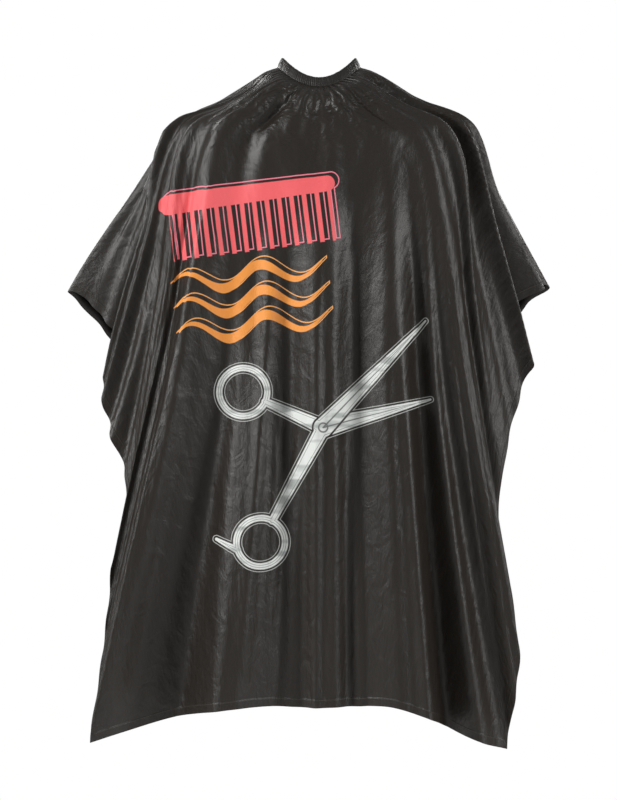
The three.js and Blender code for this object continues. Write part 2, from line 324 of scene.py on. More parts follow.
# ---- the shape that the cloth hangs in ----
# Each station is a turn round the neck in degrees, then its place across, back and up in millimetres.
SHOULDER_LINE = (
    (0, 0, -112, -114), (32, 150, -105, -112), (55, 212, -60, -98), (90, 240, 4, -88),
    (125, 204, 76, -94), (150, 120, 111, -98), (178, 2, 118, -96),
)
BACK_HEM = ((140, 188, 122, -500), (155, 112, 168, -410), (168, 50, 142, -372), (178, 2, 152, -366))
RIGHT_EDGE = (
    (0, -6, -186, -1016), (8, 60, -152, -1014), (15, 112, -168, -1014), (20, 168, -190, -1030),
    (24, 198, -122, -1046), (28, 250, -150, -1070), (32, 304, -140, -1084), (42, 308, -106, -916),
    (52, 286, -66, -660), (62, 342, -40, -488), (75, 306, 0, -402), (90, 372, 26, -346),
    (100, 306, 62, -420), (110, 312, 106, -520), (122, 264, 130, -600), *BACK_HEM,
)
LEFT_EDGE = (
    (0, 6, -186, -1016), (10, 90, -158, -1014), (18, 160, -182, -1020), (24, 232, -120, -1034),
    (28, 300, -126, -1054), (32, 352, -148, -1070), (42, 336, -122, -850), (50, 302, -72, -664),
    (62, 352, -48, -540), (75, 312, 0, -440), (90, 404, 26, -356), (100, 322, 62, -440),
    (110, 324, 106, -530), (122, 276, 130, -600), *BACK_HEM,
)
FRONT_CORNER_TURN = 32
SIDE_TURN = 90
BACK_CORNER_TURN = 122
GATHER_REACH = 0.2
GATHER_FULLNESS = 0.4
SIDE_FULLNESS = 0.12
GATHER_RISE = 5 * MM
FOLD_HEIGHT = 17 * MM


def curve_point(points, share):
    """A point of the even, centripetal curve through the points; share runs from 0 to 1."""
    place = (len(points) - 1) * min(max(share, 0.0), 1.0)
    index = min(int(place), len(points) - 2)
    part = place - index
    start, end = points[index], points[index + 1]
    before = points[index - 1] if index > 0 else start * 2 - end
    after = points[index + 2] if index + 2 < len(points) else end * 2 - start
    gaps = [max((b - a).length ** 0.5, 1e-5) for a, b in ((before, start), (start, end), (end, after))]
    leave = (start - before) / gaps[0] - (end - before) / (gaps[0] + gaps[1]) + (end - start) / gaps[1]
    arrive = (end - start) / gaps[1] - (after - start) / (gaps[1] + gaps[2]) + (after - end) / gaps[2]
    leave, arrive = leave * gaps[1], arrive * gaps[1]
    square = (end - start) * 3 - leave * 2 - arrive
    cube = (start - end) * 2 + leave + arrive
    return start + leave * part + square * part ** 2 + cube * part ** 3


def station_point(stations, turn):
    """Where a line of stations is at a turn of 0 or more."""
    last = len(stations) - 1
    index = 0
    while index < last - 1 and turn > stations[index + 1][0]:
        index += 1
    start, end = stations[index][0], stations[index + 1][0]
    points = [Vector(station[1:]) * MM for station in stations]
    return curve_point(points, (index + (turn - start) / (end - start)) / last)


def edge_point(stations, turn):
    """Where the edge of the cape is at a turn of 0 or more, with a sharp corner where two hems meet."""
    corners = (0, FRONT_CORNER_TURN, BACK_CORNER_TURN, SLIT_TURN)
    low, high = next(pair for pair in zip(corners, corners[1:]) if turn <= pair[1])
    return station_point([station for station in stations if low <= station[0] <= high], turn)


def fall_points(turn):
    """From the band over the shoulder line to the edge of the cape, at a turn."""
    side = -1 if turn < 0 else 1
    mirror = Vector((side, 1, 1))
    shoulder = station_point(SHOULDER_LINE, abs(turn)) * mirror
    edge = edge_point(LEFT_EDGE if side < 0 else RIGHT_EDGE, abs(turn)) * mirror
    top = band_point(turn, BAND_DEPTH, 0.0)
    return [top, top.lerp(shoulder, 0.55), shoulder, shoulder.lerp(edge, 0.45), edge]


class HungShape:
    """Where each place of the flat cloth hangs: falls of cloth from the neck, evenly spaced along each."""

    SAMPLES = 32

    def __init__(self, cut):
        self.cut = cut
        self.falls = {}
        corner = math.atan2(cut.half_width, cut.front_length) / DEGREE
        back = 180 - math.atan2(cut.half_width, cut.back_length) / DEGREE
        self.flat_turns = (0, corner, 90, back, 180)
        self.hung_turns = (0, FRONT_CORNER_TURN, SIDE_TURN, BACK_CORNER_TURN, 180)

    def fall(self, turn):
        """The points of the fall at a whole turn, and how far along it each one is."""
        if turn not in self.falls:
            ends = fall_points(max(-SLIT_TURN, min(SLIT_TURN, turn)))
            points = [curve_point(ends, step / self.SAMPLES) for step in range(self.SAMPLES + 1)]
            lengths = [0.0]
            for before, after in zip(points, points[1:]):
                lengths.append(lengths[-1] + (after - before).length)
            self.falls[turn] = np.array(points), np.array(lengths) / lengths[-1]
        return self.falls[turn]

    def on_fall(self, turn, share):
        """A point a share of the way down the fall at a whole turn."""
        points, shares = self.fall(turn)
        return Vector([np.interp(share, shares, points[:, axis]) for axis in range(3)])

    def point(self, across, along, side):
        """Where a place of the flat cloth hangs."""
        flat_turn = 180.0 if along > 0 and across == 0 else abs(math.atan2(across, -along) / DEGREE)
        turn = side * np.interp(flat_turn, self.flat_turns, self.hung_turns)
        turn = max(-SLIT_TURN, min(SLIT_TURN, turn))
        share = self.share_down(across, along)
        low = math.floor(turn)
        place = self.on_fall(low, share).lerp(self.on_fall(low + 1, share), turn - low)
        near_neck = max(1 - share / GATHER_REACH, 0.0) ** 2
        place.x *= 1 + SIDE_FULLNESS * near_neck
        place.y *= 1 + GATHER_FULLNESS * near_neck
        place.z += GATHER_RISE * near_neck
        outward = band_normal(turn)
        outward.z = 0
        return place + outward.normalized() * fold_height(turn, share)

    def share_down(self, across, along):
        """How far a place of the flat cloth is from the neck hole, as a share of the way to its edge."""
        radius = math.hypot(across, along)
        cut = self.cut
        reach_side = cut.half_width / max(abs(across) / radius, 1e-6)
        reach_end = (cut.front_length if along < 0 else cut.back_length) / max(abs(along) / radius, 1e-6)
        reach = min(reach_side, reach_end)
        return min(max((radius - cut.hole) / (reach - cut.hole), 0.0), 1.0)


def fold_height(turn, share):
    """Soft folds that run down the falls: broad ones and finer ones between them."""
    broad = noise.noise(Vector((turn * 0.11, share * 1.1, 3.1)))
    fine = noise.noise(Vector((turn * 0.34, share * 1.6, 7.1)))
    below_shoulder = smooth((share - 0.09) / 0.26)
    at_back = smooth((abs(turn) - 100) / 40)
    return FOLD_HEIGHT * (2 * broad + fine) * below_shoulder * (1 - 0.6 * at_back)


def hang(cut):
    """The points of the hanging cloth, first with its neck hole free and then with it on the band."""
    shape = HungShape(cut)
    free = [shape.point(*place, side) for place, side in zip(cut.flat, cut.sides)]
    on_band = [
        point if turn is None else band_point(turn, CLOTH_TUCK, 0.0)
        for point, turn in zip(free, cut.held)
    ]
    return free, on_band


# ---- materials ----
CUT_SPAN = 1.5
COMB_MIDDLE = (-108, -248)
COMB_TILT = 7 * DEGREE
COMB_PITCH = 20.0
COMB_TOOTH = 4.2
WAVE_MIDDLE = (-110, -376)
WAVE_LENGTH = 118.0
WAVE_HEIGHT = 15.0
WAVE_GAP = 40.0
SHEARS_PIVOT = (6, -576)
UPPER_TIP = (168, -408)
LOWER_TIP = (176, -532)
UPPER_HOOP = (-120, -520)
LOWER_HOOP = (-92, -756)
HOOP_RADIUS = 38.0
FINGER_REST = ((-128, -768), (-162, -752))
STITCH_PITCH = 3.4
STITCH_INSET = 2.0
# Heights, reach and pitch in millimetres.
CREASE_RELIEF = 5.0
CRUMPLE_RELIEF = 1.8
PLEAT_RELIEF = 1.5
PLEAT_REACH = 190
PLEATS_PER_RADIAN = 58.0
PLEAT_WANDER = 9.0
WEAVE_RELIEF = 0.02
WEAVE_PITCH = 0.7
PRINT_SPAN = 2.6
PRINT_TOP = 0.8
PRINT_ASIDE = 0.7


def add_node(tree, kind, inputs=(), **settings):
    """Adds a node, sets it, and fills its inputs with values or with links from other nodes' outputs."""
    node = tree.nodes.new(kind)
    for key, value in settings.items():
        setattr(node, key, value)
    filled = inputs.items() if isinstance(inputs, dict) else enumerate(inputs)
    for socket, value in filled:
        if isinstance(value, bpy.types.NodeSocket):
            tree.links.new(value, node.inputs[socket])
        elif value is not None:
            node.inputs[socket].default_value = value
    return node


def new_material(name, base, roughness, **shader):
    """A material with one main shader; returns it with its tree and its shader."""
    material = bpy.data.materials.new(name)
    material.use_nodes = True
    tree = material.node_tree
    main = tree.nodes["Principled BSDF"]
    main.inputs["Base Color"].default_value = base
    main.inputs["Roughness"].default_value = roughness
    for key, value in shader.items():
        main.inputs[key.replace("_", " ")].default_value = value
    return material, tree, main


def cut_place(tree, settings):
    """The place on the flat cloth in millimetres, as a vector: across, along, 0."""
    pattern = add_node(tree, "ShaderNodeUVMap", uv_map="cut")
    span = CUT_SPAN / MM
    corner = (-settings.half_width / MM, -settings.front_length / MM, 0)
    return add_node(
        tree, "ShaderNodeVectorMath", [pattern.outputs[0], (span, span, 0), corner],
        operation="MULTIPLY_ADD").outputs[0]


def tapered_bar(tree, place, start, end, start_radius, end_radius):
    """Distance in millimetres outside a round-ended bar that tapers from one radius to the other."""
    start, end = Vector((*start, 0)), Vector((*end, 0))
    reach = end - start
    from_start = add_node(
        tree, "ShaderNodeVectorMath", [place, start], operation="SUBTRACT").outputs[0]
    along = add_node(
        tree, "ShaderNodeVectorMath", [from_start, reach / reach.length_squared],
        operation="DOT_PRODUCT").outputs["Value"]
    part = add_node(tree, "ShaderNodeMath", [along, 1.0], operation="MULTIPLY", use_clamp=True).outputs[0]
    spine = add_node(
        tree, "ShaderNodeVectorMath", {0: reach, "Scale": part}, operation="SCALE").outputs[0]
    distance = add_node(
        tree, "ShaderNodeVectorMath", [from_start, spine], operation="DISTANCE").outputs["Value"]
    radius = add_node(
        tree, "ShaderNodeMath", [part, end_radius - start_radius, start_radius],
        operation="MULTIPLY_ADD").outputs[0]
    return add_node(tree, "ShaderNodeMath", [distance, radius], operation="SUBTRACT").outputs[0]


def hoop(tree, place, centre, radius, half_width):
    """Distance outside a round hoop."""
    distance = add_node(
        tree, "ShaderNodeVectorMath", [place, Vector((*centre, 0))], operation="DISTANCE").outputs["Value"]
    off_line = add_node(tree, "ShaderNodeMath", [distance, radius], operation="SUBTRACT").outputs[0]
    unsigned = add_node(tree, "ShaderNodeMath", [off_line], operation="ABSOLUTE").outputs[0]
    return add_node(tree, "ShaderNodeMath", [unsigned, half_width], operation="SUBTRACT").outputs[0]


def nearest(tree, distances):
    """The smallest of several distances, which joins their shapes."""
    joined = distances[0]
    for distance in distances[1:]:
        joined = add_node(tree, "ShaderNodeMath", [joined, distance], operation="MINIMUM").outputs[0]
    return joined


def inside(tree, distance, edge=0.0, soft=0.5):
    """1 inside the shape grown by edge, 0 outside it, with a soft rim."""
    return add_node(
        tree, "ShaderNodeMapRange", [distance, edge - soft, edge + soft, 1.0, 0.0]).outputs[0]


def rim(tree, distance, at, half_width):
    """1 on a line that runs at a distance round the shape."""
    off_line = add_node(tree, "ShaderNodeMath", [distance, at], operation="SUBTRACT").outputs[0]
    unsigned = add_node(tree, "ShaderNodeMath", [off_line], operation="ABSOLUTE").outputs[0]
    return inside(tree, unsigned, half_width, 0.4)


def comb_shape(tree, place):
    """A comb: a tapered back with a row of teeth under it."""
    turned = add_node(
        tree, "ShaderNodeVectorRotate", {0: place, 1: (*COMB_MIDDLE, 0), "Angle": -COMB_TILT},
        rotation_type="Z_AXIS").outputs[0]
    back = tapered_bar(
        tree, turned, (COMB_MIDDLE[0] - 128, COMB_MIDDLE[1] + 42),
        (COMB_MIDDLE[0] + 126, COMB_MIDDLE[1] + 42), 17, 13)
    parts = add_node(tree, "ShaderNodeSeparateXYZ", [turned])
    repeat = add_node(
        tree, "ShaderNodeMath", [parts.outputs[0], COMB_PITCH / 2, -COMB_PITCH / 2],
        operation="WRAP").outputs[0]
    off_tooth = add_node(tree, "ShaderNodeMath", [repeat], operation="ABSOLUTE").outputs[0]
    tooth = add_node(tree, "ShaderNodeMath", [off_tooth, COMB_TOOTH], operation="SUBTRACT").outputs[0]
    off_middle = add_node(
        tree, "ShaderNodeMath", [parts.outputs[0], COMB_MIDDLE[0]], operation="SUBTRACT").outputs[0]
    aside = add_node(tree, "ShaderNodeMath", [off_middle], operation="ABSOLUTE").outputs[0]
    beyond = add_node(tree, "ShaderNodeMath", [aside, COMB_PITCH * 6.5], operation="SUBTRACT").outputs[0]
    off_row = add_node(
        tree, "ShaderNodeMath", [parts.outputs[1], COMB_MIDDLE[1] - 4], operation="SUBTRACT").outputs[0]
    up_down = add_node(tree, "ShaderNodeMath", [off_row], operation="ABSOLUTE").outputs[0]
    below = add_node(tree, "ShaderNodeMath", [up_down, 46.0], operation="SUBTRACT").outputs[0]
    ends = add_node(tree, "ShaderNodeMath", [beyond, below], operation="MAXIMUM").outputs[0]
    teeth = add_node(tree, "ShaderNodeMath", [tooth, ends], operation="MAXIMUM").outputs[0]
    return nearest(tree, [back, teeth])


def wave_shape(tree, place):
    """Three waving strands of hair, one under another, thinning at their ends."""
    turned = add_node(
        tree, "ShaderNodeVectorRotate", {0: place, 1: (*WAVE_MIDDLE, 0), "Angle": -COMB_TILT},
        rotation_type="Z_AXIS").outputs[0]
    parts = add_node(tree, "ShaderNodeSeparateXYZ", [turned])
    phase = add_node(
        tree, "ShaderNodeMath", [parts.outputs[0], 2 * math.pi / WAVE_LENGTH],
        operation="MULTIPLY").outputs[0]
    swing = add_node(tree, "ShaderNodeMath", [phase], operation="SINE").outputs[0]
    lift = add_node(
        tree, "ShaderNodeMath", [swing, -WAVE_HEIGHT, parts.outputs[1]], operation="MULTIPLY_ADD").outputs[0]
    off_middle = add_node(
        tree, "ShaderNodeMath", [lift, WAVE_MIDDLE[1]], operation="SUBTRACT").outputs[0]
    repeat = add_node(
        tree, "ShaderNodeMath", [off_middle, WAVE_GAP / 2, -WAVE_GAP / 2], operation="WRAP").outputs[0]
    off_line = add_node(tree, "ShaderNodeMath", [repeat], operation="ABSOLUTE").outputs[0]
    aside_signed = add_node(
        tree, "ShaderNodeMath", [parts.outputs[0], WAVE_MIDDLE[0]], operation="SUBTRACT").outputs[0]
    aside = add_node(tree, "ShaderNodeMath", [aside_signed], operation="ABSOLUTE").outputs[0]
    thin = add_node(
        tree, "ShaderNodeMapRange", [aside, 40.0, 122.0, 8.5, 1.5]).outputs[0]
    strand = add_node(tree, "ShaderNodeMath", [off_line, thin], operation="SUBTRACT").outputs[0]
    outside = add_node(tree, "ShaderNodeMath", [aside, 122.0], operation="SUBTRACT").outputs[0]
    height = add_node(tree, "ShaderNodeMath", [off_middle], operation="ABSOLUTE").outputs[0]
    over = add_node(tree, "ShaderNodeMath", [height, WAVE_GAP * 1.5], operation="SUBTRACT").outputs[0]
    ends = add_node(tree, "ShaderNodeMath", [outside, over], operation="MAXIMUM").outputs[0]
    return add_node(tree, "ShaderNodeMath", [strand, ends], operation="MAXIMUM").outputs[0]


def shear_half(tree, place, tip, hoop_centre):
    """One half of a pair of shears: blade, shank and finger hoop."""
    pivot = Vector(SHEARS_PIVOT)
    centre = Vector(hoop_centre)
    entry = centre + (pivot - centre).normalized() * HOOP_RADIUS
    blade = tapered_bar(tree, place, SHEARS_PIVOT, tip, 15, 1.5)
    shank = tapered_bar(tree, place, SHEARS_PIVOT, tuple(entry), 11, 6)
    return nearest(tree, [blade, shank, hoop(tree, place, hoop_centre, HOOP_RADIUS, 5.0)])


def shears_masks(tree, place):
    """The shears' silver fill and the lines drawn on it."""
    rest = tapered_bar(tree, place, *FINGER_REST, 5.5, 2.5)
    front = nearest(tree, [shear_half(tree, place, UPPER_TIP, LOWER_HOOP), rest])
    behind = shear_half(tree, place, LOWER_TIP, UPPER_HOOP)
    clear = inside(tree, front, 3.0)
    shown = add_node(tree, "ShaderNodeMath", [1.0, clear], operation="SUBTRACT").outputs[0]
    back_fill = add_node(
        tree, "ShaderNodeMath", [inside(tree, behind), shown], operation="MULTIPLY").outputs[0]
    fill = add_node(
        tree, "ShaderNodeMath", [inside(tree, front), back_fill], operation="MAXIMUM").outputs[0]
    screw = hoop(tree, place, SHEARS_PIVOT, 7.0, 1.2)
    fullers = [
        tapered_bar(tree, place, SHEARS_PIVOT, UPPER_TIP, 1.2, 0.2),
        tapered_bar(tree, place, SHEARS_PIVOT, LOWER_TIP, 1.2, 0.2),
    ]
    drawn = inside(tree, nearest(tree, [screw, *fullers]))
    both = nearest(tree, [front, behind])
    inner_line = rim(tree, both, -3.2, 0.35)
    outer_line = rim(tree, both, 3.4, 0.55)
    drawn = add_node(tree, "ShaderNodeMath", [drawn, inner_line], operation="MAXIMUM").outputs[0]
    return fill, drawn, outer_line


def blended(tree, mask, under, over):
    """One colour over another where the mask is 1."""
    mix = add_node(tree, "ShaderNodeMix", data_type="RGBA")
    tree.links.new(mask, mix.inputs["Factor"])
    for socket, value in (("A", under), ("B", over)):
        target = [entry for entry in mix.inputs if entry.name == socket and entry.type == "RGBA"][0]
        if isinstance(value, bpy.types.NodeSocket):
            tree.links.new(value, target)
        else:
            target.default_value = value
    return [entry for entry in mix.outputs if entry.type == "RGBA"][0]


def shine_place(tree, place):
    """The place squeezed along the blades, so that the shades of steel run in long bands."""
    return add_node(
        tree, "ShaderNodeVectorMath", [place, (0.012, 0.05, 1.0)], operation="MULTIPLY").outputs[0]


def shifted(tree, place, across, along):
    """The place moved, so that what is drawn there is moved the other way."""
    return add_node(
        tree, "ShaderNodeVectorMath", [place, (-across, -along, 0)], operation="ADD").outputs[0]


def print_colour(tree, place, cloth_colour, inks):
    """Lays the comb, the waves and the shears over the cloth's colour."""
    offset = shifted(tree, place, 6.0, 5.0)
    pale_coral = linear("#F58596")
    pale_orange = linear("#F7AC62")
    colour = cloth_colour
    inked = []
    drawings = ((comb_shape, inks.coral, pale_coral), (wave_shape, inks.orange, pale_orange))
    for shape, ink, pale in drawings:
        fill = inside(tree, shape(tree, place), -0.6)
        line = rim(tree, shape(tree, offset), 0.0, 0.9)
        colour = blended(tree, line, colour, pale)
        colour = blended(tree, fill, colour, linear(ink))
        inked += [fill, line]
    fill, drawn, outer_line = shears_masks(tree, place)
    glint = add_node(tree, "ShaderNodeTexNoise", {"Vector": shine_place(tree, place), "Scale": 1.0})
    shine = add_node(tree, "ShaderNodeMapRange", [glint.outputs["Fac"], 0.38, 0.5]).outputs[0]
    steel = blended(tree, shine, linear("#B2B6B3"), linear(inks.silver))
    colour = blended(tree, outer_line, colour, linear("#B9BCB8"))
    colour = blended(tree, fill, colour, steel)
    colour = blended(
        tree, add_node(tree, "ShaderNodeMath", [fill, drawn], operation="MULTIPLY").outputs[0],
        colour, linear("#6D706D"))
    inked += [fill, outer_line]
    cover = inked[0]
    for mask in inked[1:]:
        cover = add_node(tree, "ShaderNodeMath", [cover, mask], operation="MAXIMUM").outputs[0]
    return colour, cover


def stitch_line(tree, place, edge, at):
    """A dashed line of thread at a distance in millimetres from the cut edge."""
    line = rim(tree, edge, at, 0.1)
    parts = add_node(tree, "ShaderNodeSeparateXYZ", [place])
    run = add_node(tree, "ShaderNodeMath", [parts.outputs[0], parts.outputs[1]], operation="ADD").outputs[0]
    repeat = add_node(tree, "ShaderNodeMath", [run, STITCH_PITCH], operation="FLOORED_MODULO").outputs[0]
    dash = add_node(tree, "ShaderNodeMath", [repeat, STITCH_PITCH * 0.72], operation="LESS_THAN").outputs[0]
    return add_node(tree, "ShaderNodeMath", [line, dash], operation="MULTIPLY").outputs[0]


def cloth_relief(tree, place, hole_radius):
    """Height in millimetres: crisp creases, pleats that fan out from the neck, and the weave; also the crease
    height alone, which the taffeta uses for painted shade and highlight.
    """
    crease_place = add_node(
        tree, "ShaderNodeVectorMath", [place, (0.017, 0.006, 1.0)], operation="MULTIPLY").outputs[0]
    creases = add_node(
        tree, "ShaderNodeTexNoise", {"Vector": crease_place, "Scale": 1.0, "Detail": 5.0, "Roughness": 0.55})
    crumple_place = add_node(
        tree, "ShaderNodeVectorMath", [place, (0.03, 0.03, 1.0)], operation="MULTIPLY").outputs[0]
    crumple = add_node(
        tree, "ShaderNodeTexNoise", {"Vector": crumple_place, "Scale": 1.0, "Detail": 3.0, "Distortion": 0.8})
    parts = add_node(tree, "ShaderNodeSeparateXYZ", [place])
    turn = add_node(
        tree, "ShaderNodeMath", [parts.outputs[0], parts.outputs[1]], operation="ARCTAN2").outputs[0]
    radius = add_node(tree, "ShaderNodeVectorMath", [place], operation="LENGTH").outputs["Value"]
    wander = add_node(
        tree, "ShaderNodeMath", [crumple.outputs["Fac"], PLEAT_WANDER], operation="MULTIPLY").outputs[0]
    fan = add_node(
        tree, "ShaderNodeMath", [turn, PLEATS_PER_RADIAN, wander], operation="MULTIPLY_ADD").outputs[0]
    pleat = add_node(tree, "ShaderNodeMath", [fan], operation="SINE").outputs[0]
    hole = hole_radius / MM
    fade = add_node(
        tree, "ShaderNodeMapRange", [radius, hole, hole + PLEAT_REACH, PLEAT_RELIEF, 0.0],
        interpolation_type="SMOOTHSTEP").outputs[0]
    gathers = add_node(tree, "ShaderNodeMath", [pleat, fade], operation="MULTIPLY").outputs[0]
    warp = add_node(
        tree, "ShaderNodeMath", [parts.outputs[0], 2 * math.pi / WEAVE_PITCH],
        operation="MULTIPLY").outputs[0]
    weft = add_node(
        tree, "ShaderNodeMath", [parts.outputs[1], 2 * math.pi / WEAVE_PITCH],
        operation="MULTIPLY").outputs[0]
    over = add_node(tree, "ShaderNodeMath", [warp], operation="SINE").outputs[0]
    under = add_node(tree, "ShaderNodeMath", [weft], operation="SINE").outputs[0]
    weave = add_node(tree, "ShaderNodeMath", [over, under], operation="MULTIPLY").outputs[0]
    height = add_node(
        tree, "ShaderNodeMath", [creases.outputs["Fac"], CREASE_RELIEF, gathers],
        operation="MULTIPLY_ADD").outputs[0]
    height = add_node(
        tree, "ShaderNodeMath", [crumple.outputs["Fac"], CRUMPLE_RELIEF, height],
        operation="MULTIPLY_ADD").outputs[0]
    height = add_node(
        tree, "ShaderNodeMath", [weave, WEAVE_RELIEF, height], operation="MULTIPLY_ADD").outputs[0]
    return height, creases.outputs["Fac"]


def taffeta_outside(cloth, inks):
    """Outer face of the cloth: crisp dark taffeta with a soft shine, its printing and its hem stitching."""
    material, tree, main = new_material(
        "Printed polyester taffeta", linear(cloth.colour_hex), 0.47, Specular_IOR_Level=0.4)
    place = cut_place(tree, cloth)
    height, creases = cloth_relief(tree, place, cloth.hole_radius)
    edge = add_node(tree, "ShaderNodeAttribute", attribute_name="edge_distance").outputs["Fac"]
    thread = stitch_line(tree, place, edge, cloth.hem_width / MM - STITCH_INSET)
    # Painted shade and highlight: the taffeta's colour follows the crease height, lighter on the crests and
    # darker in the hollows.
    base = blended(tree, creases, linear(cloth.colour_hex), linear("#28231E"))
    base = blended(tree, thread, base, linear("#5A554D"))
    front = print_place(tree)
    colour, ink = print_colour(tree, front, base, inks)
    tree.links.new(colour, main.inputs["Base Color"])
    roughness = add_node(tree, "ShaderNodeMapRange", [ink, 0.0, 1.0, 0.42, 0.55]).outputs[0]
    tree.links.new(roughness, main.inputs["Roughness"])
    hem_step = add_node(
        tree, "ShaderNodeMapRange",
        [edge, cloth.hem_width / MM - 1.2, cloth.hem_width / MM, 0.35, 0.0]).outputs[0]
    relief = add_node(tree, "ShaderNodeMath", [height, hem_step], operation="ADD").outputs[0]
    relief = add_node(tree, "ShaderNodeMath", [ink, 0.08, relief], operation="MULTIPLY_ADD").outputs[0]
    relief = add_node(tree, "ShaderNodeMath", [thread, -0.3, relief], operation="MULTIPLY_ADD").outputs[0]
    bump = add_node(tree, "ShaderNodeBump", {"Strength": 1.0, "Distance": MM, "Height": relief})
    tree.links.new(bump.outputs[0], main.inputs["Normal"])
    return material


def print_place(tree):
    """The place on the front in millimetres from the neck opening: across, up, 0."""
    pattern = add_node(tree, "ShaderNodeUVMap", uv_map="print")
    span = PRINT_SPAN / MM
    corner = (-span / 2, -span * PRINT_TOP, 0)
    return add_node(
        tree, "ShaderNodeVectorMath", [pattern.outputs[0], (span, span, 0), corner],
        operation="MULTIPLY_ADD").outputs[0]


def taffeta_inside(cloth):
    """Inner face and folded hems: the same taffeta with its duller coated side out, unprinted."""
    material, tree, main = new_material(
        "Coated taffeta reverse", linear("#1A1917"), 0.58, Specular_IOR_Level=0.3)
    height, creases = cloth_relief(tree, cut_place(tree, cloth), cloth.hole_radius)
    # Painted shade and highlight: the reverse is coloured lighter on the crests of the creases and darker in
    # their hollows.
    base = blended(tree, creases, linear("#191816"), linear("#211F1D"))
    tree.links.new(base, main.inputs["Base Color"])
    bump = add_node(tree, "ShaderNodeBump", {"Strength": 0.8, "Distance": MM, "Height": height})
    tree.links.new(bump.outputs[0], main.inputs["Normal"])
    return material


def band_taffeta():
    """Neck band and tab: doubled taffeta, woven finely, pulled into small uneven creases, with painted shade
    in their hollows and painted highlight on their crests.
    """
    material, tree, main = new_material(
        "Gathered band taffeta", linear("#1F1D1B"), 0.46, Specular_IOR_Level=0.38)
    where = add_node(tree, "ShaderNodeTexCoord").outputs["Object"]
    fine = add_node(tree, "ShaderNodeTexNoise", {"Vector": where, "Scale": 420.0, "Detail": 4.0})
    broad = add_node(tree, "ShaderNodeTexNoise", {"Vector": where, "Scale": 90.0, "Detail": 3.0})
    # Painted shade and highlight: the band is coloured lighter where its creases stand high and darker where
    # they sink.
    base = blended(tree, broad.outputs["Fac"], linear("#1B1A18"), linear("#2A2724"))
    tree.links.new(base, main.inputs["Base Color"])
    both = add_node(
        tree, "ShaderNodeMath", [fine.outputs["Fac"], 0.25, broad.outputs["Fac"]],
        operation="MULTIPLY_ADD").outputs[0]
    bump = add_node(tree, "ShaderNodeBump", {"Strength": 0.6, "Distance": MM, "Height": both})
    tree.links.new(bump.outputs[0], main.inputs["Normal"])
    return material


def sewing_thread():
    """Spun polyester thread: matt, a shade lighter than the cloth so that the stitches read."""
    material, tree, main = new_material("Spun polyester thread", linear("#4A463F"), 0.75, Sheen_Weight=0.3)
    where = add_node(tree, "ShaderNodeTexCoord").outputs["Object"]
    twist = add_node(tree, "ShaderNodeTexNoise", {"Vector": where, "Scale": 2500.0, "Detail": 2.0})
    base = blended(tree, twist.outputs["Fac"], linear("#3F3B35"), linear("#59544B"))
    tree.links.new(base, main.inputs["Base Color"])
    bump = add_node(
        tree, "ShaderNodeBump", {"Strength": 0.5, "Distance": 0.1 * MM, "Height": twist.outputs["Fac"]})
    tree.links.new(bump.outputs[0], main.inputs["Normal"])
    return material


def elastic_webbing():
    """Woven elastic inside the casing: off-black rubber core under crosswise ribs of yarn."""
    material, tree, main = new_material("Woven elastic webbing", linear("#1E1D1C"), 0.8, Sheen_Weight=0.2)
    where = add_node(tree, "ShaderNodeTexCoord").outputs["Object"]
    yarn = add_node(tree, "ShaderNodeTexNoise", {"Vector": where, "Scale": 900.0, "Detail": 3.0})
    base = blended(tree, yarn.outputs["Fac"], linear("#171615"), linear("#2B2927"))
    tree.links.new(base, main.inputs["Base Color"])
    bump = add_node(
        tree, "ShaderNodeBump", {"Strength": 0.5, "Distance": 0.2 * MM, "Height": yarn.outputs["Fac"]})
    tree.links.new(bump.outputs[0], main.inputs["Normal"])
    return material


def plated_nickel():
    """Press studs: nickel plate over brass, polished by use, with fine scratches and a little haze."""
    material, tree, main = new_material("Nickel plated brass", linear("#B9B6AE"), 0.24, Metallic=1.0)
    where = add_node(tree, "ShaderNodeTexCoord").outputs["Object"]
    stretched = add_node(
        tree, "ShaderNodeVectorMath", [where, (900.0, 5200.0, 900.0)], operation="MULTIPLY").outputs[0]
    scratches = add_node(tree, "ShaderNodeTexNoise", {"Vector": stretched, "Scale": 1.0, "Detail": 2.0})
    haze = add_node(tree, "ShaderNodeTexNoise", {"Vector": where, "Scale": 380.0, "Detail": 3.0})
    base = blended(tree, haze.outputs["Fac"], linear("#A8A49B"), linear("#C9C7C0"))
    tree.links.new(base, main.inputs["Base Color"])
    roughness = add_node(tree, "ShaderNodeMapRange", [haze.outputs["Fac"], 0.3, 0.7, 0.18, 0.36]).outputs[0]
    tree.links.new(roughness, main.inputs["Roughness"])
    bump = add_node(
        tree, "ShaderNodeBump",
        {"Strength": 0.3, "Distance": 0.05 * MM, "Height": scratches.outputs["Fac"]})
    tree.links.new(bump.outputs[0], main.inputs["Normal"])
    return material


def studio_paper():
    """Plain white seamless paper under and behind the cape: matt, with a faint fibre."""
    material, tree, main = new_material("White seamless paper", linear("#F6F6F5"), 0.9)
    where = add_node(tree, "ShaderNodeTexCoord").outputs["Object"]
    fibre = add_node(tree, "ShaderNodeTexNoise", {"Vector": where, "Scale": 60.0, "Detail": 4.0})
    base = blended(tree, fibre.outputs["Fac"], linear("#F4F4F3"), linear("#F8F8F7"))
    tree.links.new(base, main.inputs["Base Color"])
    return material


# ---- the cloth as pieces ----
FAN_HEIGHT = 15 * MM
FAN_REACH = 0.34
FAN_FULL_TURN = 62 * DEGREE
FAN_END_TURN = 98 * DEGREE
HEM_GAP = 0.3 * MM
FOLD_START = -0.02
FOLD_END = 0.05


def edge_distance(settings, across, along):
    """Distance on the flat cloth to the nearest cut edge, the slit among them, in millimetres."""
    edges = [
        settings.half_width - abs(across),
        settings.front_length + along,
        settings.back_length - along,
    ]
    if along > 0:
        edges.append(abs(across))
    return max(min(edges), 0.0) / MM


def print_shift(across, along, side):
    """How far the printing's map is moved aside, so that the sides and the back stay plain."""
    turn = abs(math.atan2(across, -along)) / DEGREE
    return side * PRINT_ASIDE * smooth((turn - 62) / 26)


